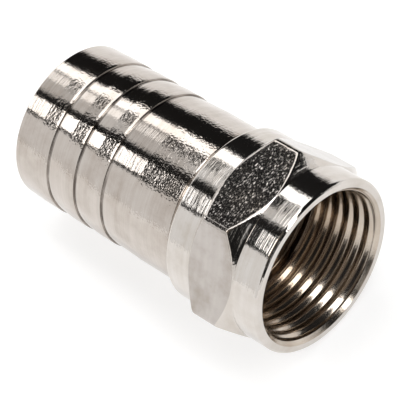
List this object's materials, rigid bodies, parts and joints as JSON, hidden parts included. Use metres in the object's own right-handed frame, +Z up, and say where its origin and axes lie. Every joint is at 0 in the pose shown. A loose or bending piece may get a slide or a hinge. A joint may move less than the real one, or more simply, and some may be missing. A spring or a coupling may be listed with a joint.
{
  "type": "f connector",
  "caption": "Crimp-on coaxial F connector: threaded hexagon coupling nut swivelling on a flanged tubular post, with a ribbed sleeve behind it that is crimped onto the cable.",
  "frame": {"origin": "on the connector's axis, at the centre of the nut's mouth", "axes": "+X along the axis and out of the mouth, the way the port leaves; the cable enters from -X; +Z up, square to the hexagon flat that it lies on"},
  "size_m": [0.02, 0.0128, 0.0112],
  "materials": {
    "nut_plating": "bright nickel plate over turned brass",
    "sleeve_plating": "bright nickel plate over turned brass",
    "post_plating": "nickel plate over turned brass"
  },
  "bodies": {
    "post_and_sleeve": {"post": "post_plating", "crimp_sleeve": "sleeve_plating"},
    "nut": {"coupling_nut": "nut_plating"}
  },
  "joints": [
    {"name": "nut_spin", "type": "hinge", "parent": "post_and_sleeve", "child": "nut", "pos_m": [-0.0066, 0, 0], "axis": [1, 0, 0], "continuous": true}
  ]
}
